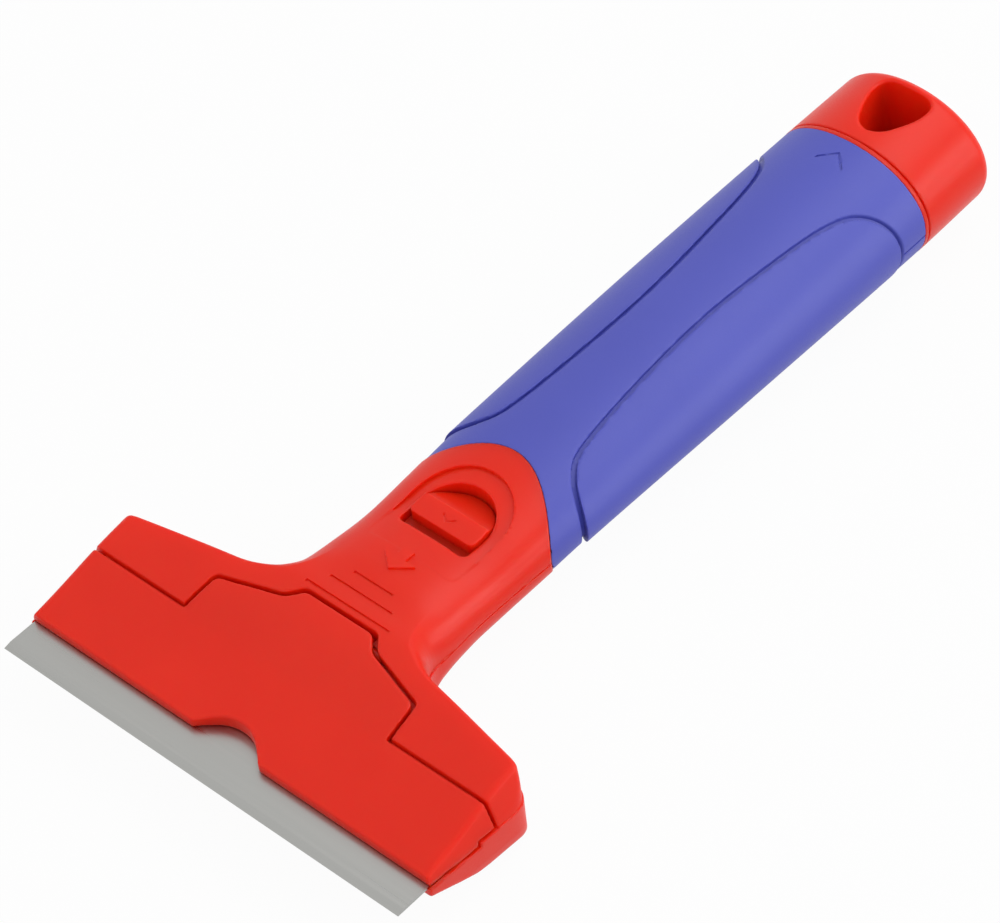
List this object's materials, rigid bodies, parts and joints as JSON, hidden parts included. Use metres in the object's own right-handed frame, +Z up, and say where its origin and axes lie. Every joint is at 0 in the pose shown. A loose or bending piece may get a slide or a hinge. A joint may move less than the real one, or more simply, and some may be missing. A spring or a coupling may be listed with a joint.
{
  "type": "blade scraper",
  "caption": "Hand scraper with a wide steel blade in a hinged clamp, worked by a thumb slide, a soft grip on its handle and an end cap that draws out a tray of spare blades.",
  "frame": {"origin": "middle of the scraper's length and width, on the surface that it lies on", "axes": "+X along the blade, +Y from the cutting edge to the end cap, +Z up from the surface that it lies on"},
  "size_m": [0.104, 0.209, 0.0277],
  "materials": {
    "red_plastic": "satin moulded",
    "blue_rubber": "matt soft touch",
    "blade_steel": "rolled, ground edge",
    "spring_steel": "drawn wire",
    "dark_plastic": "satin moulded"
  },
  "bodies": {
    "handle": {"body": "red_plastic", "grip_sleeve": "blue_rubber", "return_spring": "spring_steel"},
    "clamp": {"blade_clamp": "red_plastic", "hinge_pin": "spring_steel"},
    "slide": {"thumb_slide": "red_plastic", "latch_bar": "dark_plastic"},
    "blade": {"blade": "blade_steel"},
    "cap": {"end_cap": "red_plastic", "spare_blade_tray": "dark_plastic", "spare_blade_1": "blade_steel", "spare_blade_2": "blade_steel", "spare_blade_3": "blade_steel", "spare_blade_4": "blade_steel", "spare_blade_5": "blade_steel", "spare_blade_6": "blade_steel", "spare_blade_7": "blade_steel", "spare_blade_8": "blade_steel", "spare_blade_9": "blade_steel", "spare_blade_10": "blade_steel"}
  },
  "joints": [
    {"name": "clamp_hinge", "type": "hinge", "parent": "handle", "child": "clamp", "pos_m": [0, -0.06685, 0.0172], "axis": [-1, 0, 0], "range_deg": [0, 12], "stiffness_Nm_per_rad": 0.057, "springref_deg": -9.74},
    {"name": "thumb_slide_push", "type": "slide", "parent": "handle", "child": "slide", "axis": [0, -1, 0], "range_m": [0, 0.0025], "deforming": ["return_spring"]},
    {"name": "blade_slide", "type": "slide", "parent": "handle", "child": "blade", "axis": [0, -1, 0], "range_m": [0, 0.0115]},
    {"name": "cap_pull", "type": "slide", "parent": "handle", "child": "cap", "axis": [0, 1, 0], "range_m": [0, 0.11]}
  ],
  "couplings": [
    {"joint": "thumb_slide_push", "follows": "clamp_hinge", "m_per_rad": 0.011936}
  ]
}
